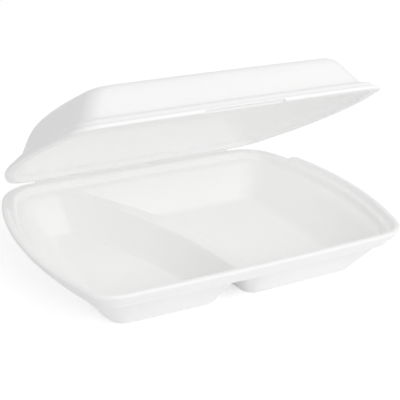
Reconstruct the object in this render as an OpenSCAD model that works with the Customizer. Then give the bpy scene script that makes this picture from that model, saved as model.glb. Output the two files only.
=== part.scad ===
// Foam menu box: a two-compartment take-away tray with a hinged lid, formed from one sheet of white foam.
// The tray stands on its two compartments. X runs along the hinge, the front is at -Y and Z is up.

/* [Box] */
// Length of the box along its hinge
box_w = 241; // [215:1:270]
// Depth of the box from its hinge to its front edge
box_d = 194; // [175:1:220]
// Height of the tray from the table to the top of its lip
tray_h = 36; // [30:0.5:50]
// Height of the lid above its hinge
lid_h = 27.5; // [22:0.5:40]
// Thickness of the foam sheet
sheet = 2.8; // [2:0.1:3.2]
// Angle at which the lid stands open
lid_open = 28.3; // [0:0.1:180]

/* [Outline] */
// Outward bow of the front edge
front_bow = 3; // [1:0.5:8]
// Outward bow of each end
end_bow = 20; // [8:1:26]
// Corner radius at the front
front_corner = 22; // [19:1:36]
// Corner radius beside the hinge
back_corner = 30; // [26:1:46]

/* [Rim] */
// Width of the raised lip
lip_w = 3.6; // [3.4:0.1:5]
// Height of the lip above the ledge that the lid lies on
lip_h = 3.6; // [3:0.1:6]
// Distance from the hinge to the two ends of the lip
lip_end = 42; // [30:1:80]
// Width of the ledge that the lid lies on
ledge_w = 4; // [3:0.1:6]
// Drop from the ledge to the shelf inside it
step_h = 5.4; // [4:0.1:8]
// Width of the shelf round the compartments
shelf_w = 5; // [4:0.1:8]
// Slope of a step, as the run of its face
step_draft = 0.9; // [0.4:0.1:1.5]
// Rounding of the lip's edges
lip_round = 0.8; // [0.4:0.1:1.2]

/* [Compartments] */
// Run of an end wall from the shelf to the floor
end_run = 23; // [14:1:32]
// Run of the front wall
front_run = 18; // [10:1:26]
// Run of the back wall
back_run = 19; // [10:1:26]
// Outward bow of an end wall at the floor
floor_bow = 7; // [3:0.5:12]
// Corner radius of a compartment at the front
pan_front_corner = 11; // [8:1:18]
// Corner radius of a compartment at the back
pan_back_corner = 16; // [10:1:24]
// Corner radius of a compartment beside the divider
pan_divider_corner = 8; // [6:1:14]
// Part of a corner's radius that is lost down to the floor
corner_taper = 0.4; // [0.35:0.05:0.6]
// Rounding where a wall meets the floor
floor_round = 4.5; // [3:0.5:10]
// Rounding of a compartment's top edge
edge_round = 3; // [1.5:0.5:5]

/* [Divider] */
// Place of the divider along the front
divider_front = -5; // [-30:1:30]
// Place of the divider along the back
divider_back = -61; // [-80:1:-30]
// Bow of the divider towards the larger compartment
divider_bow = 13; // [5:1:20]
// Width of the divider between the walls' top edges
divider_top = 10; // [8:0.5:14]
// Width of the divider at the floor
divider_foot = 28; // [22:1:40]

/* [Lid] */
// Gap between the closed lid and the lip
lid_gap = 0.6; // [0.4:0.1:1.2]
// Width of the flange round the lid
flange_w = 4; // [3:0.1:5.5]
// Width of the rounded shoulder inside the flange
shoulder_w = 6; // [4.5:0.1:8]
// Height of the shoulder above the hinge
shoulder_h = 7; // [6:0.1:9]
// Run of the lid's front and back walls from the shoulder to the top edge
lid_run = 8; // [5:0.5:14]
// Run of the lid's end walls
lid_end_run = 13; // [6:0.5:18]
// Rounding of the lid's top edge
lid_round = 7; // [4:0.5:10]
// Corner radius of the lid's top
lid_corner = 12; // [8:1:16]

/* [Hinge and closure] */
// Radius of the crease that joins the tray and the lid
crease_r = 0.9; // [0.6:0.1:1.2]
// Clearance round the crease and under the closed lid
hinge_gap = 0.3; // [0.2:0.05:0.5]
// Width of the closing slot in the lid's front flange
slot_w = 52; // [30:1:80]
// Height of the closing slot
slot_h = 1.5; // [1:0.1:1.8]
// Clearance of the catch in the slot
catch_gap = 0.4; // [0.3:0.05:0.6]

/* [Hidden] */

foam = [0.96, 0.96, 0.955];
edge_steps = 10;
corner_steps = 7;
curve_steps = 4;
crease_sides = 24;
// Radius that draws the back edge as good as straight
straight_r = 50000;
// Spare height that carries a cut clear of a face
spare = 1;
// Depth of the back flange below the ledge
flange_dip = 0.1;
// Height above the shelf at which the rounding of a compartment's edge starts, so that the shelf cuts it
lead = 0.2;

// Levels of the tray's rim
ledge_z = tray_h - lip_h;
shelf_z = ledge_z - step_h;
hinge_y = box_d / 2;
hinge_z = ledge_z + hinge_gap / 2;

// Insets of the rim's steps from the outline
ledge_in = lip_w + step_draft;
shelf_in = ledge_in + ledge_w + step_draft;
pan_in = shelf_in + shelf_w;

// The lid's outline lies inside the lip, and at the back it reaches the hinge
lid_in = ledge_in + lid_gap;
lid_back_in = hinge_gap / 2;
slot_in = flange_w * 0.8;

// Sideways thickness of a sloping compartment wall, whose sheet is measured across the slope
pan_slope = atan2(shelf_z - sheet, front_run);
pan_wall = sheet / sin(pan_slope);

function unit(v) = v / norm(v);
function turn(a) = a - 360 * round(a / 360);
function sag_radius(half, bow) = (half * half + bow * bow) / (2 * bow);
function mix(a, b, t) = a + (b - a) * t;
function bezier(a, b, c, t) = (1 - t) * (1 - t) * a + 2 * t * (1 - t) * b + t * t * c;

// An outline has four edges, anticlockwise from the front. Each is [centre, radius, side, steps], where side
// is 1 if the edge bows outwards and -1 if it bows inwards, and each corner between two edges has its radius.
function grown(e, inset) = e[1] - e[2] * inset;

// Meeting point of two circles, on the left of the line from the first centre to the second or on its right
function meet(c1, r1, c2, r2, left) =
    let (d = norm(c2 - c1), u = (c2 - c1) / d, a = (r1 * r1 - r2 * r2 + d * d) / (2 * d))
    let (h = sqrt(max(r1 * r1 - a * a, 0)) * (left ? 1 : -1))
    c1 + a * u + h * [-u[1], u[0]];

// Of two meeting points, the one that lies nearer to a corner's rough place
function corner_centre(e, f, inset, r, near) =
    let (r1 = grown(e, inset + r), r2 = grown(f, inset + r))
    let (p = meet(e[0], r1, f[0], r2, true), q = meet(e[0], r1, f[0], r2, false))
    norm(p - near) < norm(q - near) ? p : q;

function along(c, r, from, to, steps) =
    [for (i = [0 : steps - 1]) let (a = from + turn(to - from) * i / steps) c + r * [cos(a), sin(a)]];

function heading(v) = atan2(v[1], v[0]);

// Points round an outline that lies a given inset inside its edges
function outline(edges, corners, places, inset) =
    let (rs = [for (r = corners) max(r - inset, 0.6)])
    let (ks = [for (i = [0 : 3]) corner_centre(edges[i], edges[(i + 1) % 4], inset, rs[i], places[i])])
    [for (i = [0 : 3])
        let (e = edges[i], f = edges[(i + 1) % 4], k0 = ks[(i + 3) % 4], k1 = ks[i])
        each concat(
            along(e[0], grown(e, inset), heading(k0 - e[0]), heading(k1 - e[0]), e[3]),
            along(k1, rs[i], heading(e[2] * (k1 - e[0])), heading(f[2] * (k1 - f[0])), corner_steps))];

function at_height(points, z) = [for (p = points) [p[0], p[1], z]];

// Edges of the whole box: the front and the ends bow, and the back is straight
front_r = sag_radius(box_w / 2, front_bow);
end_r = sag_radius(box_d / 2, end_bow);
box_corners = [[box_w, -box_d] / 2, [box_w, box_d] / 2, [-box_w, box_d] / 2, [-box_w, -box_d] / 2];

function front_edge(inset) = [[0, front_r - box_d / 2], front_r - inset, 1, edge_steps];
function right_edge(inset) = [[box_w / 2 - end_r, 0], end_r - inset, 1, edge_steps];
function back_edge(inset) = [[0, box_d / 2 - straight_r], straight_r - inset, 1, 1];
function left_edge(inset) = [[end_r - box_w / 2, 0], end_r - inset, 1, edge_steps];

function rim_ring(inset, z) = at_height(
    outline([front_edge(0), right_edge(0), back_edge(0), left_edge(0)],
        [front_corner, back_corner, back_corner, front_corner], box_corners, inset), z);

// A ring of the lid, given how far its front and back lie inside the lid's edge and how far its ends do
function lid_ring(inset, end_inset, z) =
    let (side = lid_in + end_inset)
    let (front = front_edge(lid_in + inset), back = back_edge(lid_back_in + inset))
    let (near_r = max(front_corner - lid_in - inset, lid_corner))
    let (far_r = max(back_corner - lid_in - inset, lid_corner))
    at_height(outline([front, right_edge(side), back, left_edge(side)],
        [near_r, far_r, far_r, near_r], box_corners, 0), z);

// The divider's middle line is an arc from the front to the back of the compartments
divider_ends = [[divider_front, pan_in - box_d / 2], [divider_back, box_d / 2 - pan_in]];
divider_chord = norm(divider_ends[1] - divider_ends[0]);
divider_r = sag_radius(divider_chord / 2, divider_bow);
divider_side = unit([divider_ends[1][1] - divider_ends[0][1], divider_ends[0][0] - divider_ends[1][0]]);
divider_c = (divider_ends[0] + divider_ends[1]) / 2 + (divider_bow - divider_r) * divider_side;

// Edges of a compartment where its walls have come a part t of their run from the shelf to the floor
pan_half = box_d / 2 - pan_in;
shelf_bow = pan_half * pan_half / (2 * end_r);
function pan_front(t) = front_edge(pan_in + front_run * t);
function pan_back(t) = back_edge(pan_in + back_run * t);
function pan_end(t, dir) =
    let (x = box_w / 2 - pan_in - end_run * t, r = sag_radius(pan_half, mix(shelf_bow, floor_bow, t)))
    [[dir * (x - r), 0], r, 1, edge_steps];
function pan_divider(t, dir) =
    [divider_c, divider_r - dir * mix(divider_top, divider_foot, t) / 2, dir, edge_steps];

// Corner radii of a compartment a part t down its walls
function tapered(corners, t) = [for (r = corners) r * (1 - corner_taper * t)];

// Rings of the left compartment, whose right wall is the divider, and of the right one
function left_ring(t, grow, z) = at_height(
    outline([pan_front(t), pan_divider(t, 1), pan_back(t), pan_end(t, -1)],
        tapered([pan_divider_corner, pan_divider_corner, pan_back_corner, pan_front_corner], t),
        [divider_ends[0], divider_ends[1], box_corners[2], box_corners[3]], -grow), z);
function right_ring(t, grow, z) = at_height(
    outline([pan_front(t), pan_end(t, 1), pan_back(t), pan_divider(t, -1)],
        tapered([pan_front_corner, pan_back_corner, pan_divider_corner, pan_divider_corner], t),
        [box_corners[0], box_corners[1], divider_ends[1], divider_ends[0]], -grow), z);
function pan_ring(left, t, grow, z) = left ? left_ring(t, grow, z) : right_ring(t, grow, z);

// A wall's path from the shelf to the floor, as pairs of its run t and its height, rounded at both ends
function pan_path(top_z, floor_z) =
    let (drop = top_z - floor_z, a = edge_round / drop, b = floor_round / drop)
    let (rim = [[-a, top_z + lead], [0, top_z], [a, top_z - a * drop]])
    let (foot = [[1 - b, floor_z + b * drop], [1, floor_z], [1 + b, floor_z]])
    concat(
        [for (i = [0 : curve_steps]) bezier(rim[0], rim[1], rim[2], i / curve_steps)],
        [for (i = [0 : curve_steps]) bezier(foot[0], foot[1], foot[2], i / curve_steps)]);

// The rim's upper face as pairs of inset and height, from the lip's outer edge to the shelf
rim_path = [
    [0, tray_h], [lip_w, tray_h], [ledge_in, ledge_z], [ledge_in + ledge_w, ledge_z],
    [shelf_in, shelf_z], [pan_in, shelf_z]];

// The lid's outer face, from the flange's edge over the shoulder and a wall of a given run to the flat top
wall_in = flange_w + shoulder_w;
wall_part = lid_round / (lid_h - shoulder_h);
function lid_path(run) =
    let (top_in = wall_in + run)
    let (foot = [[flange_w, sheet], [flange_w + step_draft, shoulder_h], [wall_in, shoulder_h]])
    let (bend_in = mix(top_in, wall_in, wall_part))
    let (edge = [[bend_in, lid_h - lid_round], [top_in, lid_h], [top_in + lid_round, lid_h]])
    concat(
        [[0, sheet]],
        [for (i = [0 : curve_steps]) bezier(foot[0], foot[1], foot[2], i / curve_steps)],
        [for (i = [0 : curve_steps]) bezier(edge[0], edge[1], edge[2], i / curve_steps)]);

// The other face of a sheet: its path moved by the sheet's thickness, square to the path
function normal(a, b) = let (u = unit(b - a)) [u[1], -u[0]];
function other_face(path) =
    [for (i = [0 : len(path) - 1])
        let (n0 = normal(path[max(i - 1, 0)], path[max(i, 1)]))
        let (n1 = normal(path[min(i, len(path) - 2)], path[min(i + 1, len(path) - 1)]))
        path[i] + sheet * (n0 + n1) / (1 + n0 * n1)];

// Solid between two level rings
module band(low, high) {
    n = len(low);
    hull() polyhedron(concat(low, high), concat(
        [[for (i = [0 : n - 1]) i]],
        [[for (i = [n - 1 : -1 : 0]) n + i]],
        [for (i = [0 : n - 1]) [i, n + i, n + (i + 1) % n, (i + 1) % n]]));
}

// Solid through a stack of rings, from the top ring down
module stack(rings) {
    n = len(rings[0]);
    last = len(rings) - 1;
    polyhedron([for (r = rings) each r], concat(
        [[for (i = [n - 1 : -1 : 0]) i]],
        [[for (i = [0 : n - 1]) last * n + i]],
        [for (k = [0 : last - 1], i = [0 : n - 1])
            each [[k * n + i, k * n + (i + 1) % n, (k + 1) * n + (i + 1) % n],
                [k * n + i, (k + 1) * n + (i + 1) % n, (k + 1) * n + i]]]));
}

// Everything inside the rim's under face, from the lip down to the underside of the shelf
module rim_outside() {
    under = other_face(rim_path);
    band(rim_ring(0, tray_h - lip_round), rim_ring(lip_round, tray_h));
    band(rim_ring(0, under[0][1]), rim_ring(0, tray_h - lip_round));
    for (i = [1 : 2 : 3])
        band(rim_ring(under[i + 1][0], under[i + 1][1]), rim_ring(under[i][0], under[i][1]));
}

// The open space above the ledge and the shelf
module rim_inside() {
    mouth_in = lip_w - lip_round;
    band(rim_ring(ledge_in, ledge_z), rim_ring(lip_w, tray_h - lip_round));
    band(rim_ring(lip_w, tray_h - lip_round), rim_ring(mouth_in, tray_h));
    band(rim_ring(mouth_in, tray_h), rim_ring(mouth_in, tray_h + spare));
    band(rim_ring(shelf_in, shelf_z), rim_ring(ledge_in + ledge_w, ledge_z));
    band(rim_ring(ledge_in + ledge_w, ledge_z), rim_ring(ledge_in + ledge_w, ledge_z + spare / 2));
}

// Place where the lip stops short of the hinge, and half the length of the slope at its end
lip_y = hinge_y - lip_end;
ramp = lip_h / 2;

// Flange that carries the ledge out to the back edge behind the ends of the lip
module back_flange() {
    intersection() {
        band(rim_ring(0, ledge_z - sheet), rim_ring(0, tray_h - lip_round));
        translate([-box_w / 2 - spare, lip_y - ramp, 0])
            cube([box_w + 2 * spare, lip_end + ramp + spare, tray_h]);
    }
}

module lip_stop() {
    low_z = ledge_z - flange_dip;
    rotate([90, 0, 90])
        linear_extrude(box_w + 2 * spare, center = true)
            polygon([[lip_y + ramp, low_z], [lip_y - ramp, tray_h + spare],
                [hinge_y + spare, tray_h + spare], [hinge_y + spare, low_z]]);
}

module pan_outside(left) {
    path = pan_path(shelf_z - sheet, 0);
    stack(concat([pan_ring(left, path[0][0], pan_wall, shelf_z - sheet + spare)],
        [for (p = path) pan_ring(left, p[0], pan_wall, p[1])]));
}

module pan_inside(left) {
    path = pan_path(shelf_z, sheet);
    stack(concat([pan_ring(left, path[0][0], 0, shelf_z + spare)],
        [for (p = path) pan_ring(left, p[0], 0, p[1])]));
}

// Straight part of the back edge, along which the tray and the lid are joined
hinge_half = max([for (p = rim_ring(0, 0)) p[1] > hinge_y - lid_back_in ? p[0] : 0]) - spare;

module crease(r, half) {
    translate([0, hinge_y, hinge_z])
        rotate([0, 90, 0])
            rotate(180 / crease_sides)
                cylinder(r = r, h = 2 * half, center = true, $fn = crease_sides);
}

// Low catch on the front ledge that fills the lid's closing slot
module catch() {
    w = slot_w - 2 * catch_gap;
    back = lid_in + slot_in - catch_gap;
    translate([-w / 2, lip_w - box_d / 2, ledge_z - sheet / 2])
        cube([w, back - lip_w, sheet / 2 + slot_h - catch_gap]);
}

module tray() {
    color(foam) {
        difference() {
            union() {
                rim_outside();
                back_flange();
                pan_outside(true);
                pan_outside(false);
            }
            rim_inside();
            lip_stop();
            pan_inside(true);
            pan_inside(false);
        }
        catch();
        crease(crease_r, hinge_half);
    }
}

module lid_outside() {
    face = lid_path(lid_run);
    ends = lid_path(lid_end_run);
    rings = [for (i = [1 : len(face) - 1]) lid_ring(face[i][0], ends[i][0], face[i][1])];
    band(lid_ring(0, 0, 0), lid_ring(0, 0, sheet));
    for (i = [0 : len(rings) - 2])
        band(rings[i], rings[i + 1]);
}

module lid_inside() {
    face = other_face(lid_path(lid_run));
    ends = other_face(lid_path(lid_end_run));
    rings = [for (i = [1 : len(face) - 1]) lid_ring(face[i][0], ends[i][0], face[i][1])];
    band(lid_ring(face[1][0], ends[1][0], -spare), rings[0]);
    for (i = [0 : len(rings) - 2])
        band(rings[i], rings[i + 1]);
}

module slot() {
    translate([-slot_w / 2, lid_in - spare - box_d / 2, -spare])
        cube([slot_w, slot_in + spare, slot_h + spare]);
}

module closed_lid() {
    translate([0, 0, hinge_z + hinge_gap / 2])
        difference() {
            lid_outside();
            lid_inside();
            slot();
        }
}

module lid() {
    color(foam)
        translate([0, hinge_y, hinge_z])
            rotate([-lid_open, 0, 0])
                translate([0, -hinge_y, -hinge_z])
                    difference() {
                        closed_lid();
                        crease(crease_r + hinge_gap, box_w / 2);
                    }
}

tray();
lid();
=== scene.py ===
import bpy
import bmesh
import cmath
import math
from mathutils import Matrix, Vector


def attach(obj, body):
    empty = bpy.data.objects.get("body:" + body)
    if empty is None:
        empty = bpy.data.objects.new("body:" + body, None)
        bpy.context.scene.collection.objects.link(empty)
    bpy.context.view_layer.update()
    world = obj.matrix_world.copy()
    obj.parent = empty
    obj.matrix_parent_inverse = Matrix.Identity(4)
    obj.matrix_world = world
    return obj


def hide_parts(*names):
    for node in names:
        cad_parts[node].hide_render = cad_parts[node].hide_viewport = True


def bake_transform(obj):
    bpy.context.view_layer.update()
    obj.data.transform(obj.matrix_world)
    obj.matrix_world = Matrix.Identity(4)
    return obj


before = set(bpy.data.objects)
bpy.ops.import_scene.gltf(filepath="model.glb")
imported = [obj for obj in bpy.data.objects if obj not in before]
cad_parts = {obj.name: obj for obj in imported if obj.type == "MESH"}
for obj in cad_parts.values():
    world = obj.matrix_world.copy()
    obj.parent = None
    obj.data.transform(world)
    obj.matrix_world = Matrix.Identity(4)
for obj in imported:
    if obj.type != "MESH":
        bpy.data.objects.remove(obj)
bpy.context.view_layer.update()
mm = 0.001
print("frame loaded:", sorted(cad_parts))

# plan of the whole box in mm, seen from above with the hinge at the back
boxPlan = {
    "width": 241, "depth": 194,
    "frontBow": 3, "endBow": 20,
    "frontCorner": 22, "backCorner": 30,
    "leastCorner": 0.6, "cornerCuts": 6,
}


def sagRadius(half, bow):
    return (half * half + bow * bow) / (2 * bow)


halfWidth, halfDepth = boxPlan["width"] / 2, boxPlan["depth"] / 2
frontRadius = sagRadius(halfWidth, boxPlan["frontBow"])
endRadius = sagRadius(halfDepth, boxPlan["endBow"])
straightRadius = 50000  # the hinge edge is as good as straight
boxCorners = [complex(halfWidth, -halfDepth), complex(halfWidth, halfDepth),
              complex(-halfWidth, halfDepth), complex(-halfWidth, -halfDepth)]


# an edge is its centre, its radius and 1 if it bows outwards or -1 if it bows inwards
def frontEdge(inset):
    return complex(0, frontRadius - halfDepth), frontRadius - inset, 1


def rightEdge(inset):
    return complex(halfWidth - endRadius, 0), endRadius - inset, 1


def backEdge(inset):
    return complex(0, halfDepth - straightRadius), straightRadius - inset, 1


def leftEdge(inset):
    return complex(endRadius - halfWidth, 0), endRadius - inset, 1


def meetPoint(centreA, radiusA, centreB, radiusB, near):
    gap = abs(centreB - centreA)
    along = (radiusA ** 2 - radiusB ** 2 + gap ** 2) / (2 * gap)
    across = math.sqrt(max(radiusA ** 2 - along ** 2, 0))
    way = (centreB - centreA) / gap
    return min((centreA + way * complex(along, s * across) for s in (1, -1)), key=lambda p: abs(p - near))


def shortTurn(angle):
    return (angle + math.pi) % (2 * math.pi) - math.pi


# the eight stretches of a ring, edge and corner in turn, anticlockwise from the front
def ringParts(edges, radii, places, spots):
    cuts = boxPlan["cornerCuts"]
    centres = []
    for i, (c, r, side) in enumerate(edges):
        d, q, other = edges[(i + 1) % 4]
        centres.append(meetPoint(c, r - side * radii[i], d, q - other * radii[i], places[i]))
    parts = []
    for i, (c, r, side) in enumerate(edges):
        d, q, other = edges[(i + 1) % 4]
        start = cmath.phase(centres[i - 1] - c)
        turn = shortTurn(cmath.phase(centres[i] - c) - start)
        parts.append([c + cmath.rect(r, start + turn * u) for u in spots[i]])
        bend = cmath.phase(side * (centres[i] - c))
        swing = shortTurn(cmath.phase(other * (centres[i] - d)) - bend)
        parts.append([centres[i] + cmath.rect(radii[i], bend + swing * k / cuts) for k in range(1, cuts)])
    return parts


def evenSpots(count):
    return [k / count for k in range(count + 1)]


def spotsFrom(first, last, values):  # places along an edge, given as distances from its two ends
    return [(v - first) / (last - first) for v in values]


def startRing(bm, points):  # a circle drawn out onto an outline
    made = bmesh.ops.create_circle(bm, cap_ends=False, segments=len(points), radius=1)
    ring = list(made["verts"])
    for v, p in zip(ring, points):
        v.co = p
    return ring


def loopEdges(bm, ring):
    return [bm.edges.get((a, b)) for a, b in zip(ring, ring[1:] + ring[:1])]


def chainEdges(bm, chain):
    return [bm.edges.get((a, b)) for a, b in zip(chain, chain[1:])]


def pullRing(bm, ring, points):  # extrudes a ring and lays the new one on its points
    made = bmesh.ops.extrude_edge_only(bm, edges=loopEdges(bm, ring))["geom"]
    fresh = {g for g in made if isinstance(g, bmesh.types.BMVert)}
    after = [next(e.other_vert(v) for e in v.link_edges if e.other_vert(v) in fresh) for v in ring]
    for v, p in zip(after, points):
        v.co = p
    return after


def capRing(bm, ring):  # a flat end inside the last two rings
    bmesh.ops.contextual_create(bm, geom=ring)


def spread(flat, height):  # plan points in mm at one height, as places in metres
    return [Vector((p.real, p.imag, height)) * mm for p in flat]


def finishPiece(bm, name, levels, materials):
    bmesh.ops.recalc_face_normals(bm, faces=list(bm.faces))
    mesh = bpy.data.meshes.new(name)
    bm.to_mesh(mesh)
    bm.free()
    for poly in mesh.polygons:
        poly.use_smooth = True
    piece = bpy.data.objects.new(name, mesh)
    bpy.context.scene.collection.objects.link(piece)
    for material in materials:
        mesh.materials.append(material)
    if levels:
        rounding = piece.modifiers.new("rounding", "SUBSURF")
        rounding.levels = rounding.render_levels = levels
    return piece


# foam sheet: a matte white skin over fine cells
foamLook = {
    "paleColour": (0.958, 0.958, 0.956, 1), "brightColour": (0.98, 0.98, 0.977, 1),
    "mottleScale": 55, "cellScale": 950, "waveScale": 38,
    "roughLow": 0.46, "roughHigh": 0.62, "gloss": 0.3,
    "scatter": 0.08, "scatterReach": (0.002, 0.002, 0.0019),
    "cellDepth": 0.00006, "waveDepth": 0.00025,
}


def foamMaterial(name, look, cellStrength):
    mat = bpy.data.materials.new(name)
    mat.use_nodes = True
    tree = mat.node_tree
    shader = tree.nodes["Principled BSDF"]
    shader.inputs["Specular IOR Level"].default_value = look["gloss"]
    shader.inputs["Subsurface Weight"].default_value = look["scatter"]
    shader.inputs["Subsurface Radius"].default_value = look["scatterReach"]
    shader.inputs["Subsurface Scale"].default_value = 1.0

    def node(kind, **inputs):
        made = tree.nodes.new(kind)
        for key, value in inputs.items():
            made.inputs[key].default_value = value
        return made

    def link(a, out, b, into):
        tree.links.new(a.outputs[out], b.inputs[into])

    coords = node("ShaderNodeTexCoord")
    mottle = node("ShaderNodeTexNoise", Scale=look["mottleScale"], Detail=5, Roughness=0.6)
    cells = node("ShaderNodeTexVoronoi", Scale=look["cellScale"], Randomness=1.0)
    wave = node("ShaderNodeTexNoise", Scale=look["waveScale"], Detail=2, Roughness=0.4)
    for tex in (mottle, cells, wave):
        link(coords, "Object", tex, "Vector")

    tint = node("ShaderNodeMix")
    tint.data_type = "RGBA"
    tint.inputs[6].default_value = look["paleColour"]
    tint.inputs[7].default_value = look["brightColour"]
    link(mottle, "Fac", tint, 0)
    tree.links.new(tint.outputs[2], shader.inputs["Base Color"])

    sheen = node("ShaderNodeMapRange", **{"From Min": 0.35, "From Max": 0.65,
                                          "To Min": look["roughLow"], "To Max": look["roughHigh"]})
    link(mottle, "Fac", sheen, "Value")
    tree.links.new(sheen.outputs["Result"], shader.inputs["Roughness"])

    skin = node("ShaderNodeBump", Strength=0.5, Distance=look["waveDepth"])
    link(wave, "Fac", skin, "Height")
    pores = node("ShaderNodeBump", Strength=cellStrength, Distance=look["cellDepth"])
    pores.invert = True
    link(cells, "Distance", pores, "Height")
    link(skin, "Normal", pores, "Normal")
    link(pores, "Normal", shader, "Normal")
    return mat


foamSkin = foamMaterial("foamSkin", foamLook, 0.35)
foamCut = foamMaterial("foamCut", foamLook, 1.0)  # cut edges, where the cells are open
print("foam materials ready")

# tray: a stepped rim round two compartments with a curved hollow divider between them, in mm
trayShape = {
    "shelf": 27.0, "shelfUnder": 24.2, "floor": 2.8, "sheetSlope": 3.5,
    "ledge": 32.4, "ledgeUnder": 29.6, "lipRise": 3.6, "lipEnd": 55.0, "lipSlope": 1.8,
    # steps of the rim as inset and height, from the shelf out to the lip's edge and back underneath
    "rimTop": [(12.2, 27.0), (10.3, 27.0), (9.3, 27.8), (8.62, 31.6), (7.8, 32.4), (5.3, 32.4),
               (4.4, 33.0), (3.75, 35.3), (3.05, 36.0), (0.8, 36.0), (0.0, 35.5)],
    "rimUnder": [(0.0, 33.7), (0.5, 33.2), (1.15, 33.2), (1.6, 32.5), (2.15, 30.3), (2.75, 29.6),
                 (5.6, 29.6), (6.25, 28.8), (6.9, 25.0), (7.5, 24.2)],
    "panIn": 14.4, "frontRun": 18, "backRun": 19, "endRun": 23, "floorBow": 7,
    "frontCorner": 11, "backCorner": 16, "dividerCorner": 8, "cornerTaper": 0.4,
    "dividerFront": -5, "dividerBack": -61, "dividerBow": 13, "dividerTop": 10, "dividerFoot": 28,
    # a compartment's wall as its part of the way in and the part of the way down
    "wallInside": [(-0.11, 0.0), (0.02, 0.025), (0.14, 0.13), (0.5, 0.5), (0.84, 0.85), (0.97, 0.97),
                   (1.14, 1.0), (1.3, 1.0)],
    "wallOutside": [(-0.05, 0.0), (0.02, 0.04), (0.12, 0.14), (0.5, 0.5), (0.85, 0.86), (0.97, 0.97),
                    (1.13, 1.0), (1.3, 1.0)],
    "frontLeftCuts": 7, "frontRightCuts": 8, "backRightCuts": 12, "backLeftCuts": 2, "dividerCuts": 14,
    "endSpots": [-80.7, -66, -50, -32, -12, 8, 26, 40, 49, 53.2, 56.8, 61, 68, 76.3],
    "subdivisions": 2,
}


def shareMix(a, b, t):
    return a + (b - a) * t


panHalf = halfDepth - trayShape["panIn"]
shelfBow = panHalf ** 2 / (2 * endRadius)
dividerEnds = (complex(trayShape["dividerFront"], -panHalf), complex(trayShape["dividerBack"], panHalf))
dividerChord = abs(dividerEnds[1] - dividerEnds[0])
dividerRadius = sagRadius(dividerChord / 2, trayShape["dividerBow"])
dividerSide = (dividerEnds[1] - dividerEnds[0]) / dividerChord * -1j
dividerCentre = sum(dividerEnds) / 2 + (trayShape["dividerBow"] - dividerRadius) * dividerSide


def panEnd(t, way):
    x = halfWidth - trayShape["panIn"] - trayShape["endRun"] * t
    r = sagRadius(panHalf, shareMix(shelfBow, trayShape["floorBow"], t))
    return complex(way * (x - r), 0), r, 1


def panDivider(t, way):
    width = shareMix(trayShape["dividerTop"], trayShape["dividerFoot"], t)
    return dividerCentre, dividerRadius - way * width / 2, way


endShares = spotsFrom(trayShape["endSpots"][0], trayShape["endSpots"][-1], trayShape["endSpots"])
endSharesBack = [1 - u for u in reversed(endShares)]


# stretches of one compartment's ring, part t of the way from the shelf to the floor
def panParts(left, t, grow):
    shape = trayShape
    front = frontEdge(shape["panIn"] + shape["frontRun"] * t)
    back = backEdge(shape["panIn"] + shape["backRun"] * t)
    if left:
        edges = [front, panDivider(t, 1), back, panEnd(t, -1)]
        radii = [shape["dividerCorner"], shape["dividerCorner"], shape["backCorner"], shape["frontCorner"]]
        places = [dividerEnds[0], dividerEnds[1], boxCorners[2], boxCorners[3]]
        spots = [evenSpots(shape["frontLeftCuts"]), evenSpots(shape["dividerCuts"]),
                 evenSpots(shape["backLeftCuts"]), endSharesBack]
    else:
        edges = [front, panEnd(t, 1), back, panDivider(t, -1)]
        radii = [shape["frontCorner"], shape["backCorner"], shape["dividerCorner"], shape["dividerCorner"]]
        places = [boxCorners[0], boxCorners[1], dividerEnds[1], dividerEnds[0]]
        spots = [evenSpots(shape["frontRightCuts"]), endShares,
                 evenSpots(shape["backRightCuts"]), evenSpots(shape["dividerCuts"])]
    edges = [(c, r + side * grow, side) for c, r, side in edges]
    radii = [r * (1 - shape["cornerTaper"] * t) + grow for r in radii]
    return ringParts(edges, radii, places, spots)


def joinParts(parts):
    return [p for part in parts for p in part]


panTops = {left: panParts(left, 0, 0) for left in (True, False)}
frontGap = (panTops[True][0][-1].real, panTops[False][0][0].real)  # where the divider runs out into the shelf
backGap = (panTops[False][4][-1].real, panTops[True][4][0].real)


def rimParts(inset):
    plan = boxPlan
    corners = (plan["frontCorner"], plan["backCorner"], plan["backCorner"], plan["frontCorner"])
    radii = [max(r - inset, plan["leastCorner"]) for r in corners]
    edges = [frontEdge(inset), rightEdge(inset), backEdge(inset), leftEdge(inset)]
    ends = ringParts(edges, radii, boxCorners, [[0, 1]] * 4)
    x0, x1 = ends[0][0].real, ends[0][1].real
    u0, u1 = (frontGap[0] - x0) / (x1 - x0), (frontGap[1] - x0) / (x1 - x0)
    frontSpots = [u0 * u for u in evenSpots(trayShape["frontLeftCuts"])]
    frontSpots += [u1 + (1 - u1) * u for u in evenSpots(trayShape["frontRightCuts"])]
    x0, x1 = ends[4][0].real, ends[4][1].real
    u0, u1 = (backGap[0] - x0) / (x1 - x0), (backGap[1] - x0) / (x1 - x0)
    backSpots = [u0 * u for u in evenSpots(trayShape["backRightCuts"])]
    backSpots += [u1 + (1 - u1) * u for u in evenSpots(trayShape["backLeftCuts"])]
    return ringParts(edges, radii, boxCorners, [frontSpots, endShares, backSpots, endSharesBack])


def rimPlaces(inset, height, level):  # the lip sinks to the ledge behind its two ends
    shape = trayShape
    places = []
    for p in joinParts(rimParts(inset)):
        up = min(max((shape["lipEnd"] + shape["lipSlope"] - p.imag) / (2 * shape["lipSlope"]), 0), 1)
        z = height
        if height > level:
            z = height - shape["lipRise"] * (1 - up)
            if inset >= 0.5:
                z = max(z, level)
        places.append(Vector((p.real, p.imag, z)) * mm)
    return places


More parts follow.
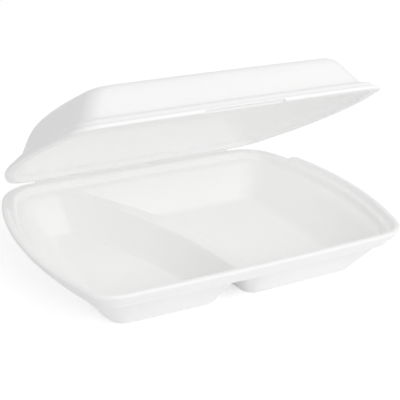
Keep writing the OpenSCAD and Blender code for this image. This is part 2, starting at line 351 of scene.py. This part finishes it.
def rimChains(ring):  # the stretches of a rim ring that face the right and the left compartment
    shape, corner = trayShape, boxPlan["cornerCuts"] - 1
    fl, fr = shape["frontLeftCuts"] + 1, shape["frontRightCuts"] + 1
    br, bl, ends = shape["backRightCuts"] + 1, shape["backLeftCuts"] + 1, len(endShares)
    rightStart = fl
    leftStart = rightStart + fr + corner + ends + corner + br
    right = ring[rightStart:leftStart]
    left = ring[leftStart:leftStart + bl + corner + ends + corner] + ring[:fl]
    return right, left


# the stretches of a compartment's ring along the rim and along the divider
def panChains(left, ring, parts):
    sizes = [len(p) for p in parts]
    starts = [sum(sizes[:k]) for k in range(9)]
    if left:
        outer = ring[starts[4]:] + ring[:starts[1]]
        divider = ring[starts[1] - 1:starts[4] + 1]
    else:
        outer = ring[:starts[5]]
        divider = (ring[starts[5] - 1:] + ring[:1])[::-1]
    return outer, divider


def joinChains(bm, a, b):
    bmesh.ops.bridge_loops(bm, edges=chainEdges(bm, a) + chainEdges(bm, b))


# both compartments and the shelf round them, on one face of the sheet
def sinkPans(bm, rimRing, wall, topZ, floorZ, grow):
    rimRight, rimLeft = rimChains(rimRing)
    tops = {}
    for left in (True, False):
        ring = None
        for t, down in wall:
            parts = panParts(left, t, grow)
            places = spread(joinParts(parts), shareMix(topZ, floorZ, down))
            if ring is None:
                ring = startRing(bm, places)
                tops[left] = panChains(left, ring, parts)
            else:
                ring = pullRing(bm, ring, places)
        capRing(bm, ring)
    joinChains(bm, rimRight, tops[False][0])
    joinChains(bm, rimLeft, tops[True][0])
    joinChains(bm, tops[True][1], tops[False][1])
    for corners in ((rimLeft[-1], rimRight[0], tops[False][1][0], tops[True][1][0]),
                    (rimRight[-1], rimLeft[0], tops[True][1][-1], tops[False][1][-1])):
        bmesh.ops.contextual_create(bm, geom=list(corners))


def buildTray():
    shape = trayShape
    bm = bmesh.new()
    first = ring = None
    cutFaces = []
    steps = [(i, z, shape["ledge"]) for i, z in shape["rimTop"]]
    steps += [(i, z, shape["ledgeUnder"]) for i, z in shape["rimUnder"]]
    for k, (inset, height, level) in enumerate(steps):
        places = rimPlaces(inset, height, level)
        if ring is None:
            first = ring = startRing(bm, places)
        else:
            before = set(bm.faces)
            ring = pullRing(bm, ring, places)
            if k == len(shape["rimTop"]):
                cutFaces = [f for f in bm.faces if f not in before]
    for face in cutFaces:
        face.material_index = 1
    sinkPans(bm, first, shape["wallInside"], shape["shelf"], shape["floor"], 0)
    sinkPans(bm, ring, shape["wallOutside"], shape["shelfUnder"], 0, shape["sheetSlope"])
    print("tray cage:", len(bm.verts), "points, open edges:", sum(not e.is_manifold for e in bm.edges))
    return finishPiece(bm, "trayShell", shape["subdivisions"], [foamSkin, foamCut])


tray = buildTray()
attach(tray, "tray")
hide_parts("tray")
print("tray done")

# lid: a flange, a rounded shoulder and a shallow dome, drawn shut and then turned open, in mm
lidShape = {
    "inset": 5.1, "backInset": 0.35, "seat": 32.7, "run": 8.0, "endRun": 13.0, "topCorner": 12,
    # outer and inner face as: distance in, part of the wall's run, height
    "outside": [(0.0, 0, 0.7), (0.0, 0, 2.2), (0.55, 0, 2.8), (3.3, 0, 2.8), (4.25, 0, 3.3),
                (5.0, 0, 5.6), (6.6, 0, 6.7), (9.2, 0, 7.0), (10.0, 0.02, 7.5), (10.0, 0.22, 11.5),
                (10.0, 0.55, 18.5), (10.0, 0.8, 23.8), (11.2, 1.0, 26.9), (15.5, 1.0, 27.5), (24, 1.0, 27.5)],
    "inside": [(24, 1.0, 24.7), (16.5, 1.0, 24.7), (13.8, 1.0, 24.2), (12.6, 0.85, 22.0),
               (12.7, 0.5, 16.5), (12.75, 0.2, 10.5), (12.6, 0.0, 5.6), (11.4, 0.0, 4.4), (9.0, 0, 4.1),
               (7.6, 0, 3.2), (6.9, 0, 1.0), (6.2, 0, 0.0), (3.4, 0, 0.0), (3.1, 0, 0.0), (0.5, 0, 0.0)],
    "slotHalf": 26.0, "slotHeight": 1.5, "slotReach": 3.2,
    "frontSpots": [-86.67, -72, -56, -41, -30, -26.9, -26.25, -25.75, -25.1, -18, -6,
                   6, 18, 25.1, 25.75, 26.25, 26.9, 30, 41, 56, 72, 86.67],
    "endCuts": 11, "backCuts": 12, "openAngle": 28.3, "hingeY": 97.0, "hingeZ": 32.55,
    "subdivisions": 2,
}


def lidPlaces(inward, runPart, height):
    shape, plan = lidShape, boxPlan
    near, far = inward + shape["run"] * runPart, inward + shape["endRun"] * runPart
    edges = [frontEdge(shape["inset"] + near), rightEdge(shape["inset"] + far),
             backEdge(shape["backInset"] + near), leftEdge(shape["inset"] + far)]
    nearRadius = max(plan["frontCorner"] - shape["inset"] - near, shape["topCorner"])
    farRadius = max(plan["backCorner"] - shape["inset"] - near, shape["topCorner"])
    frontShares = spotsFrom(shape["frontSpots"][0], shape["frontSpots"][-1], shape["frontSpots"])
    endSpots, backSpots = evenSpots(shape["endCuts"]), evenSpots(shape["backCuts"])
    parts = ringParts(edges, [nearRadius, farRadius, farRadius, nearRadius], boxCorners,
                      [frontShares, endSpots, backSpots, endSpots])
    places = spread(joinParts(parts), height + shape["seat"])
    # the slot lifts the flange's lower face
    if height < shape["slotHeight"] and inward <= shape["slotReach"]:
        for v in places[:len(frontShares)]:
            if abs(v.x) < shape["slotHalf"] * mm:
                v.z = max(v.z, (shape["seat"] + shape["slotHeight"]) * mm)
    return places


def buildLid():
    shape = lidShape
    bm = bmesh.new()
    steps = shape["inside"] + shape["outside"]
    first = ring = startRing(bm, lidPlaces(*steps[0]))
    cutFaces = []
    for k, step in enumerate(steps[1:], 1):
        before = set(bm.faces)
        ring = pullRing(bm, ring, lidPlaces(*step))
        if k == len(shape["inside"]) + 1:
            cutFaces = [f for f in bm.faces if f not in before]
    for face in cutFaces:
        face.material_index = 1
    capRing(bm, first)
    capRing(bm, ring)
    swing = Matrix.Rotation(math.radians(-shape["openAngle"]), 4, "X")
    hinge = Vector((0, shape["hingeY"], shape["hingeZ"])) * mm
    bmesh.ops.rotate(bm, verts=list(bm.verts), cent=hinge, matrix=swing)
    print("lid cage:", len(bm.verts), "points, open edges:", sum(not e.is_manifold for e in bm.edges))
    return finishPiece(bm, "lidShell", shape["subdivisions"], [foamSkin, foamCut])


lid = buildLid()
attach(lid, "lid")
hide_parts("lid")
print("lid done")

# crease: the crushed line of foam on which the lid turns, and the low catch that fills the lid's slot, in mm
creaseShape = {"half": 78.5, "radius": 0.95, "round": 0.6, "sides": 16}
catchShape = {"width": 51.2, "front": -93.4, "back": -88.9, "top": 33.5, "bottom": 31.4, "round": 0.5}


def buildCrease():
    shape = creaseShape
    bm = bmesh.new()
    bmesh.ops.create_cone(bm, cap_ends=True, segments=shape["sides"], radius1=shape["radius"] * mm,
                          radius2=shape["radius"] * mm, depth=2 * shape["half"] * mm)
    ends = [e for e in bm.edges if e.verts[0].co.z * e.verts[1].co.z > 0]  # the circles at both ends
    bmesh.ops.bevel(bm, geom=ends, offset=shape["round"] * mm, affect="EDGES",
                    segments=3, profile=0.5, material=-1)
    along = Matrix.Rotation(math.radians(90), 4, "Y")
    bmesh.ops.rotate(bm, verts=list(bm.verts), cent=(0, 0, 0), matrix=along)
    hinge = Vector((0, lidShape["hingeY"], lidShape["hingeZ"])) * mm
    bmesh.ops.translate(bm, verts=list(bm.verts), vec=hinge)
    return finishPiece(bm, "hingeCrease", 0, [foamSkin])


def buildCatch():
    shape = catchShape
    bm = bmesh.new()
    bmesh.ops.create_cube(bm, size=1)
    size = (shape["width"], shape["back"] - shape["front"], shape["top"] - shape["bottom"])
    bmesh.ops.scale(bm, verts=list(bm.verts), vec=Vector(size) * mm)
    middle = (0, (shape["back"] + shape["front"]) / 2, (shape["top"] + shape["bottom"]) / 2)
    bmesh.ops.translate(bm, verts=list(bm.verts), vec=Vector(middle) * mm)
    bmesh.ops.bevel(bm, geom=list(bm.edges), offset=shape["round"] * mm, affect="EDGES",
                    segments=3, profile=0.5, material=-1)
    return finishPiece(bm, "frontCatch", 0, [foamSkin])


crease = buildCrease()
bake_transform(crease)
catch = buildCatch()
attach(catch, "tray")
print("crease and catch done")

# studio: a white table, a large soft lamp to the right of the camera and an even white room
studioLook = {
    "tableColour": (0.9, 0.9, 0.9, 1), "tableGlow": 0.38, "tableHalf": 6,
    "roomLevel": 0.64, "bounces": 24,
    "keyEnergy": 7.4, "keySize": 1.5, "keyPlace": (0.3, -1.15, 0.75),
    "lookPoint": (0, 0, 0.042), "azimuth": -26.472, "elevation": 22.210, "distance": 0.58908,
    "lens": 80.004, "sensor": 36, "clipStart": 0.05, "shiftX": 0.0188, "shiftY": -0.0074,
}


def seenDirectly(tree):  # 1 where the camera, a gloss or a clear body looks straight at the surface
    path = tree.nodes.new("ShaderNodeLightPath")
    total = path.outputs["Is Camera Ray"]
    for ray in ("Is Glossy Ray", "Is Transmission Ray"):
        larger = tree.nodes.new("ShaderNodeMath")
        larger.operation = "MAXIMUM"
        tree.links.new(total, larger.inputs[0])
        tree.links.new(path.outputs[ray], larger.inputs[1])
        total = larger.outputs[0]
    return total


def buildTable():
    bm = bmesh.new()
    bmesh.ops.create_grid(bm, x_segments=1, y_segments=1, size=studioLook["tableHalf"])
    mesh = bpy.data.meshes.new("table")
    bm.to_mesh(mesh)
    bm.free()
    table = bpy.data.objects.new("table", mesh)
    bpy.context.scene.collection.objects.link(table)
    mat = bpy.data.materials.new("tableWhite")
    mat.use_nodes = True
    tree = mat.node_tree
    tree.nodes.clear()
    paint = tree.nodes.new("ShaderNodeBsdfDiffuse")
    paint.inputs["Color"].default_value = studioLook["tableColour"]
    glow = tree.nodes.new("ShaderNodeEmission")
    level = tree.nodes.new("ShaderNodeMath")
    level.operation = "MULTIPLY"
    level.inputs[1].default_value = studioLook["tableGlow"]
    tree.links.new(seenDirectly(tree), level.inputs[0])
    tree.links.new(level.outputs[0], glow.inputs["Strength"])
    both = tree.nodes.new("ShaderNodeAddShader")
    tree.links.new(paint.outputs[0], both.inputs[0])
    tree.links.new(glow.outputs[0], both.inputs[1])
    out = tree.nodes.new("ShaderNodeOutputMaterial")
    tree.links.new(both.outputs[0], out.inputs["Surface"])
    mesh.materials.append(mat)


def buildRoom():
    world = bpy.data.worlds.new("room")
    bpy.context.scene.world = world
    world.use_nodes = True
    tree = world.node_tree
    back = tree.nodes["Background"]
    back.inputs["Color"].default_value = (1, 1, 1, 1)
    level = tree.nodes.new("ShaderNodeMapRange")
    level.inputs["To Min"].default_value = studioLook["roomLevel"]
    level.inputs["To Max"].default_value = 1.0
    tree.links.new(seenDirectly(tree), level.inputs["Value"])
    tree.links.new(level.outputs["Result"], back.inputs["Strength"])


def addLamp(name, place, size, energy):
    lamp = bpy.data.lights.new(name, "AREA")
    lamp.shape = "DISK"
    lamp.size = size
    lamp.energy = energy
    holder = bpy.data.objects.new(name, lamp)
    bpy.context.scene.collection.objects.link(holder)
    holder.location = place
    aim = Vector(studioLook["lookPoint"]) - Vector(place)
    holder.rotation_euler = aim.to_track_quat("-Z", "Y").to_euler()


def addCamera():
    look = studioLook
    a, e = math.radians(look["azimuth"]), math.radians(look["elevation"])
    back = Vector((math.sin(a) * math.cos(e), -math.cos(a) * math.cos(e), math.sin(e)))
    data = bpy.data.cameras.new("camera")
    data.lens = look["lens"]
    data.sensor_width = look["sensor"]
    data.shift_x, data.shift_y = look["shiftX"], look["shiftY"]
    data.clip_start = look["clipStart"]
    camera = bpy.data.objects.new("camera", data)
    bpy.context.scene.collection.objects.link(camera)
    camera.location = Vector(look["lookPoint"]) + back * look["distance"]
    camera.rotation_euler = (-back).to_track_quat("-Z", "Y").to_euler()
    bpy.context.scene.camera = camera


buildTable()
buildRoom()
addLamp("keyLamp", studioLook["keyPlace"], studioLook["keySize"], studioLook["keyEnergy"])
addCamera()
bpy.context.scene.view_settings.view_transform = "Standard"
bpy.context.scene.cycles.diffuse_bounces = studioLook["bounces"]  # light crosses the white hollow many times
bpy.context.scene.cycles.max_bounces = studioLook["bounces"]
print("studio ready")
